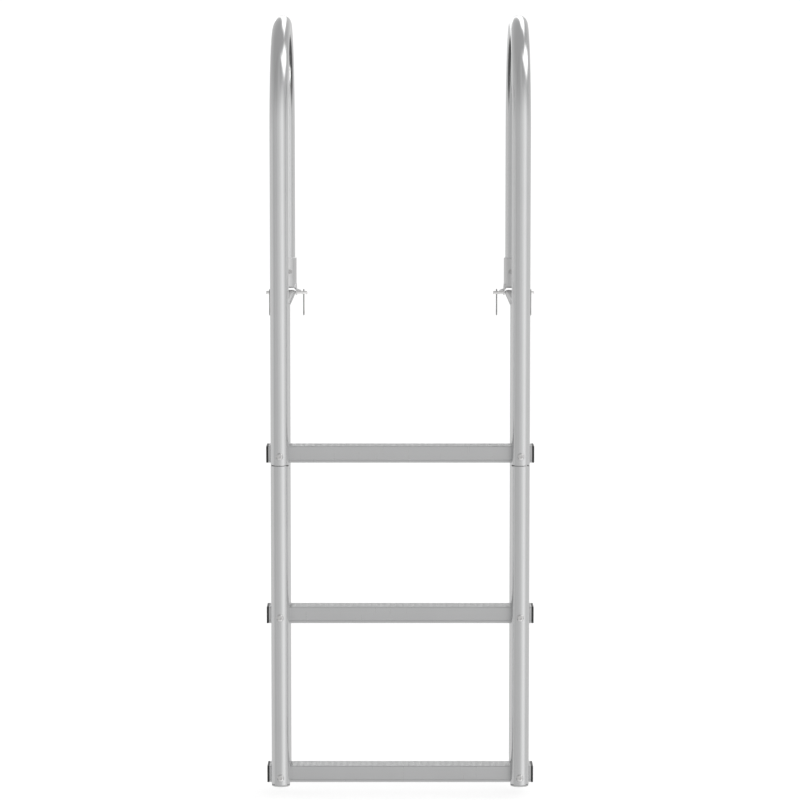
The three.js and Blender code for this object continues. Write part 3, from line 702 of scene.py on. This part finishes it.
def fillet_piece(pin, side):
    """Fills the corner between the fork's top and one ear."""
    inner, skin = EAR_INNER - FILLET, 0.5 * MM
    outline = [(EAR_INNER + skin, FORK_TOP - FILLET), (EAR_INNER + skin, FORK_TOP + skin),
               (inner, FORK_TOP + skin)]
    outline += arc(inner, FORK_TOP - FILLET, FILLET, 90, 0, 8)
    front, back = rear_y - FILLET_FRONT, rear_y + SLEEVE - 1 * MM
    return slab("fillet", outline, [(front, 0), (back, 0)], lambda a, b, h: Vector((pin.x + side * a, h, b)))


def shoulder_piece(pin):
    """Block that carries the sleeve on the ears."""
    depth = SHOULDER_FRONT + SLEEVE
    outline = rounded(2 * EAR_OUTER, depth, 4 * MM, 8, 0, (SLEEVE - SHOULDER_FRONT) / 2)
    layers = mm((0, 0.4), (0.4, 0), (6.2, 0), (7, 0.8))
    return slab("shoulder", outline, layers, lambda a, b, h: Vector((pin.x + a, rear_y + b, FORK_TOP + h)))


def ear_piece(pin, side):
    """Flat ear that narrows to a round end below the pin."""
    outline = [(SLEEVE, EAR_TOP), (-SHOULDER_FRONT + 0.8 * MM, EAR_TOP),
               (-SHOULDER_FRONT + 0.3 * MM, FORK_TOP - 0.8 * MM)]
    outline += arc(pin.y - rear_y, pin.z, pin.z - 0.2 * MM, -144, 0, 16)
    start = EAR_INNER if side > 0 else -EAR_OUTER
    thick, edge = EAR_OUTER - EAR_INNER, 0.35 * MM
    layers = [(0, edge), (edge, 0), (thick - edge, 0), (thick, edge)]
    return slab("ear", outline[::-1], layers, lambda a, b, h: Vector((pin.x + start + h, rear_y + a, b)))


def socket_piece(name, pin):
    """Cast socket: sleeve with a rolled lip, shoulder, ears, lugs and fillets, blended, then bored."""
    foot = (pin.x, rear_y, 0)
    pieces = [turned("sleeve", SLEEVE_OUTLINE, foot, UP, 72), shoulder_piece(pin)]
    pieces += [part(pin, side) for part in (ear_piece, lug_piece, fillet_piece) for side in (-1, 1)]
    body = joined(name, pieces)
    remesh = body.modifiers.new("blend", "REMESH")
    remesh.mode, remesh.voxel_size = "VOXEL", VOXEL
    soften = body.modifiers.new("soften", "SMOOTH")
    soften.factor, soften.iterations = 0.5, 4
    body = evaluated(body, name)
    cutters = [turned("bore", TUBE_BORE, foot, UP, 72), turned("pin_bore", EAR_BORE, pin, ACROSS)]
    return bored(body, cutters, 40)


for label, side in SIDES.items():
    _, _, pin = box(f"hinge_pin_{label}")
    piece = socket_piece(f"socket_{label}", pin)
    done(piece, "ladder", cast_finish, f"foot_socket_{label}")
    node = f"socket_rivet_{label}"
    _, _, mid = box(node)
    out = Vector((-side * math.sin(RIVET_ANGLE), -math.cos(RIVET_ANGLE), 0))
    seat = Vector((side * stile_x, rear_y, mid.z)) + out * RIVET_SEAT
    done(turned(f"rivet_{label}", RIVET_HEAD, seat, out, 40), "ladder", rivet_finish, node)


# ---------------------------------------------------------------- deck bars and buffers

SCREW_PLACES = (38 * MM, 132 * MM, 226 * MM)                    # along Y
SCREW_HOLE = mm((0.5, -1), (3.3, -1), (3.3, 6.3), (6.4, 9.5), (6.4, 11), (0.5, 11))
BAR_BORE = mm((0.5, -20), (3.25, -20), (3.25, 20), (0.5, 20))


def bar_piece(name, node, pin):
    """Flat bar with half-round edges, a rounded hinge end, countersunk holes and a cross bore."""
    low, high, mid = box(node)
    half = (high.z - low.z) / 2
    section = rounded(high.x - low.x, 2 * half, half - 0.01 * MM, 10)
    stations = [(low.y, 0.35 * MM, 1.0), (low.y + 0.1 * MM, 0.1 * MM, 1.0), (low.y + 0.35 * MM, 0.0, 1.0)]
    stations += [(low.y + (pin.y - low.y) * i / 8, 0.0, 1.0) for i in range(1, 9)]
    turns = [math.radians(degrees) for degrees in range(12, 85, 12)]
    stations += [(pin.y + half * math.sin(a), 0.0, math.cos(a)) for a in turns]
    stations.append((high.y, 0.3 * MM, 0.05))
    rings = [[Vector((mid.x + x, y, mid.z + z * share)) for x, z in shrunk(section, inset)]
             for y, inset, share in stations]
    bar = loft(name, rings, [y for y, _, _ in stations], capped=True)
    cutters = [turned("screw", SCREW_HOLE, (mid.x, y, low.z), UP) for y in SCREW_PLACES]
    cutters.append(turned("pin_bore", BAR_BORE, pin, ACROSS))
    return bored(bar, cutters, 40)


BUFFER = 3.7 * MM               # its thickness where it is crowned
BUFFER_LAYERS = mm((0, 0.1), (0.3, 0), (1.1, 0), (1.35, 0.25), (1.75, 0.25), (2.0, 0), (2.9, 0), (3.3, 0.15),
                   (3.6, 0.5), (3.7, 1.0), (3.7, 1.7), (3.45, 2.0), (3.45, 2.6))


def buffer_piece(name, node):
    """Rubber pad with a groove round its edge and a sunk face."""
    low, high, mid = box(node)
    width, height = high.x - low.x, high.z - low.z
    outline = rounded(width, height, height / 2 - 0.6 * MM, 10)

    def put(a, b, h):
        return Vector((mid.x - a, low.y + BUFFER - h, mid.z + b))

    return slab(name, outline, BUFFER_LAYERS, put)


for label in SIDES:
    _, _, pin = box(f"hinge_pin_{label}")
    node = f"deck_bar_{label}"
    done(bar_piece(f"bar_{label}", node, pin), "deck_bars", bar_finish, node)
    node = f"deck_buffer_{label}"
    done(buffer_piece(f"buffer_{label}", node), "deck_bars", rubber_finish, node)


# ---------------------------------------------------------------- hinge pins and clips

PIN_OUTLINE = ((2.0, 0.0), (2.35, 0.1), (2.9, 0.6), (3.0, 0.9))  # (radius, way in from the end), in mm
CLIP_REACH = 31 * MM            # of a clip's hole from the pin's middle
CLIP_HOLE = mm((0.3, -5), (1.45, -5), (1.45, 5), (0.3, 5))
WIRE = 1.15 * MM                # radius of a clip's wire
BIGHT, BIGHT_SHIFT = 4.6, 2.2   # its bight's radius, and how far its middle is from the straight leg, in mm
BIGHT_OPENING = math.radians(50)                                # half the gap in the bight
LEG_TOP, LEG_LENGTH = 4.6, 30.6 # of the straight leg, its top above the pin, in mm
# (way from the straight leg, height above the pin), in mm
SPRUNG_LEG = [(3.6, -28), (3.5, -20), (4.4, -13), (4.3, -8), (4.55, -3), (4.45, 0), (6.6, 5.5)]


def pin_piece(name, node):
    """Round pin with chamfered ends and a cross hole near each end."""
    low, high, mid = box(node)
    half = (high.x - low.x) / 2 / MM
    end = [(0.5, half), *((radius, half - inward) for radius, inward in PIN_OUTLINE)]
    body = turned(name, mm(*((radius, -x) for radius, x in end), *end[::-1]), mid, ACROSS)
    holes = [turned("hole", CLIP_HOLE, mid + side * CLIP_REACH * ACROSS, UP, 24) for side in (-1, 1)]
    return bored(body, holes, 30)


def smooth_route(points, per_span=10):
    """Centripetal Catmull-Rom curve through 3D points."""
    ends = [points[0] * 2 - points[1], *points, points[-1] * 2 - points[-2]]
    route = []
    for p0, p1, p2, p3 in zip(ends, ends[1:], ends[2:], ends[3:]):
        d1, d2, d3 = ((b - a).length ** 0.5 for a, b in ((p0, p1), (p1, p2), (p2, p3)))
        m1 = ((p1 - p0) / d1 - (p2 - p0) / (d1 + d2) + (p2 - p1) / d2) * d2
        m2 = ((p2 - p1) / d2 - (p3 - p1) / (d2 + d3) + (p3 - p2) / d3) * d2
        route += interpolate_bezier(p1, p1 + m1 / 3, p2 - m2 / 3, p2, per_span + 1)[:-1]
    return [*route, points[-1]]


def clip_piece(name, node, lean, pin):
    """Hairpin clip of round wire: straight leg through the pin, bight below, sprung leg beside the pin."""
    low, _, mid = box(node)
    bottom = (low.z - pin.z + WIRE) / MM + BIGHT
    outline = [(0, LEG_TOP - LEG_LENGTH * i / 3) for i in range(4)]
    for i in range(13):
        a = BIGHT_OPENING + (2 * math.pi - 2 * BIGHT_OPENING) * i / 12
        outline.append((BIGHT_SHIFT - BIGHT * math.sin(a), bottom + BIGHT * math.cos(a)))
    outline += SPRUNG_LEG
    route = smooth_route([Vector((mid.x, pin.y + lean * y * MM, pin.z + z * MM)) for y, z in outline])
    rings, lengths, length = [], [], 0.0
    for i, centre in enumerate(route):
        tangent = (route[min(i + 1, len(route) - 1)] - route[max(i - 1, 0)]).normalized()
        other = tangent.cross(ACROSS)
        length += (centre - route[i - 1]).length if i else 0.0
        rounds = [(0.0, 1.0)]
        if i == 0:
            rounds = [(-0.5 * WIRE, 0.5), (-0.3 * WIRE, 0.8), *rounds]
        if i == len(route) - 1:
            rounds += [(0.3 * WIRE, 0.8), (0.5 * WIRE, 0.5)]
        spokes = [ACROSS * math.cos(a) + other * math.sin(a) for a in circle(14)]
        for shift, share in rounds:
            rings.append([centre + tangent * shift + WIRE * share * spoke for spoke in spokes])
            lengths.append(length + shift)
    return loft(name, rings, lengths, capped=True, sharp=50)


for label in SIDES:
    node = f"hinge_pin_{label}"
    _, _, pin = box(node)
    done(pin_piece(f"pin_{label}", node), f"hinge_pin_body_{label}", pin_finish, node)
    for kind, lean in (("inner", 1), ("outer", -1)):
        node = f"{kind}_clip_{label}"
        piece = clip_piece(f"{kind}_hairpin_{label}", node, lean, pin)
        done(piece, f"{kind}_clip_body_{label}", wire_finish, node)

# painted shade: the seam spigots take the darker wire steel instead of their own cast aluminium, so the
# narrow seam gap where they show reads dark
for label in SIDES:
    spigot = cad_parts[f"seam_spigot_{label}"]
    spigot.data.materials.clear()
    spigot.data.materials.append(wire_finish)


# ---------------------------------------------------------------- stage, light and camera

FLOOR_GAP = 0.02                # between the floor and the ladder's feet
FLOOR_HOLE = 0.0005             # radius of the floor's innermost ring
FLOOR_GREY, FLOOR_GLOW = 0.3, 0.76
LAMP_WIDTH = 3.0
SENSOR, LENS = 36.0, 157.932    # in mm
SHIFT = (-0.00025, 0.000625)    # of the picture, in shares of its width
CAMERA_DISTANCE = 6.0           # from the front tubes
CAMERA_HEIGHT = 0.4366
CAMERA_PITCH = math.radians(5.624)


def sweep(name, floor_z, radius=13.0, rise=3.0, height=12.0):
    """Round studio sweep: flat floor that curves up into a wall on every side."""
    spokes = [Vector((math.cos(a), math.sin(a), 0)) for a in circle(96)]
    profile = [(FLOOR_HOLE, 0.0), (radius - rise, 0.0)]
    angles = [math.pi / 2 * i / 12 for i in range(1, 13)]
    profile += [(radius - rise + rise * math.sin(a), rise - rise * math.cos(a)) for a in angles]
    profile.append((radius, height))
    rings = [[r * spoke + (floor_z + h) * UP for spoke in spokes] for r, h in profile]
    return loft(name, rings, [0.0] * len(rings))


def light(name, energy, place, aim, height):
    """A soft lamp that the metal doesn't mirror."""
    data = bpy.data.lights.new(name, "AREA")
    data.energy, data.size = energy, LAMP_WIDTH
    data.shape, data.size_y = "RECTANGLE", height
    lamp = bpy.data.objects.new(name, data)
    lamp.location = place
    lamp.rotation_euler = (Vector(aim) - Vector(place)).to_track_quat("-Z", "Y").to_euler()
    lamp.visible_camera = lamp.visible_glossy = False
    bpy.context.scene.collection.objects.link(lamp)


def studio_world():
    """Soft surroundings for the metal to mirror.

    Angles are in degrees. Azimuth 0 is +X and 90 is +Y, and behind is the angle from +Y, either way.
    """
    world = bpy.data.worlds.new("studio")
    world.use_nodes = True
    w = Nodes(world.node_tree)
    way = w.node("SeparateXYZ", {0: w.node("TexCoord").outputs["Generated"]})
    azimuth = w.math("DEGREES", w.math("ARCTAN2", way.outputs[1], way.outputs[0]))
    behind = w.math("DEGREES", w.math("ARCTAN2", w.math("ABSOLUTE", way.outputs[0]), way.outputs[1]))
    height = w.math("DEGREES", w.math("ARCSINE", way.outputs[2]))

    def patch(strength, soft, across, *sides):
        """Soft-edged light inside a convex outline: a side (a, b, c) keeps a * across + b * height > c."""
        shape = strength
        for a, b, c in sides:
            line = w.math("ADD", w.math("MULTIPLY", across, a), w.math("MULTIPLY", height, b))
            shape = w.math("MULTIPLY", w.window(line, c - soft, c + soft), shape)
        return shape

    room = [
        w.window(height, 8, 48, 0.60, 0.45),                                # everywhere, dimmer high up
        w.window(height, -40, -50, 0.0, 0.3),                               # paler floor, far down
        patch(0.15, 12, behind, (-1, 0, -100), (0, 1, -40), (0, -1, -6)),   # behind, low down
        patch(-0.05, 6, azimuth, (1, 0, -164), (-1, 0, 148)),               # darker strip, left
        patch(0.12, 4, azimuth, (1, 0, -108), (-1, 0, 72), (0, 1, -9)),     # panel in front
        patch(0.44, 22, azimuth, (1, 0, -71), (-1, 0, 22), (0, -1, -40)),   # wide key, front right
    ]
    # lamps for the handrails' bends to mirror: two behind, one high on the right
    lamps = [
        patch(1.4, 3, azimuth, (1, 1, 98), (-1, -0.5, -105), (0, 1, 14), (0, -1, -50)),
        patch(1.4, 3, azimuth, (1, 0, 95), (-1, 0, -106), (0, 1, 2), (0, -1, -16)),
        patch(1.4, 3, azimuth, (0.80, 0.60, 16), (0.26, 0.97, 33.5), (-1, -0.15, -38), (-0.37, -0.93, -61)),
    ]
    # below the horizon: a dark stretch behind and beside, and one small bright lamp on the right
    dark = patch(-0.88, 4, behind, (1, 0, 16), (-1, 0, -97), (0, 1, -48), (0, -1, 17))
    spot = patch(5.0, 2, azimuth, (1, 0, -4), (-1, 0, -15), (0, 1, -45), (0, -1, 38))
    total = 0.0
    for part in room + lamps:
        total = w.math("ADD", part, total)
    total = w.math("ADD", w.math("MULTIPLY", total, w.math("ADD", 1, dark)), spot)
    background = w.tree.nodes["Background"]
    background.inputs["Color"].default_value = (1, 1, 1, 1)
    w.put(background.inputs["Strength"], total)
    return world


floor = sweep("floor", cad_box[0].z - FLOOR_GAP)
floor.data.materials.append(studio("floor_white", FLOOR_GREY, FLOOR_GLOW))
floor.visible_glossy = floor.visible_shadow = False
bpy.context.scene.world = studio_world()

centre = (cad_box[0] + cad_box[1]) / 2
light("key_front_right", 60, (2.6, -5.0, 1.6), centre, 4.0)
light("fill_front_left", 25, (-4.0, -4.0, 1.0), centre, 4.0)
light("top", 40, (0.5, 2.0, 5.0), centre, 3.0)

camera_data = bpy.data.cameras.new("camera")
camera_data.sensor_width = SENSOR
camera_data.lens = LENS
camera_data.shift_x, camera_data.shift_y = SHIFT
camera_data.clip_start, camera_data.clip_end = 0.1, 60
camera = bpy.data.objects.new("camera", camera_data)
camera.location = (0, front_y - CAMERA_DISTANCE, CAMERA_HEIGHT)
camera.rotation_euler = (math.pi / 2 - CAMERA_PITCH, 0, 0)
bpy.context.scene.collection.objects.link(camera)
bpy.context.scene.camera = camera
bpy.context.scene.view_settings.view_transform = "Standard"
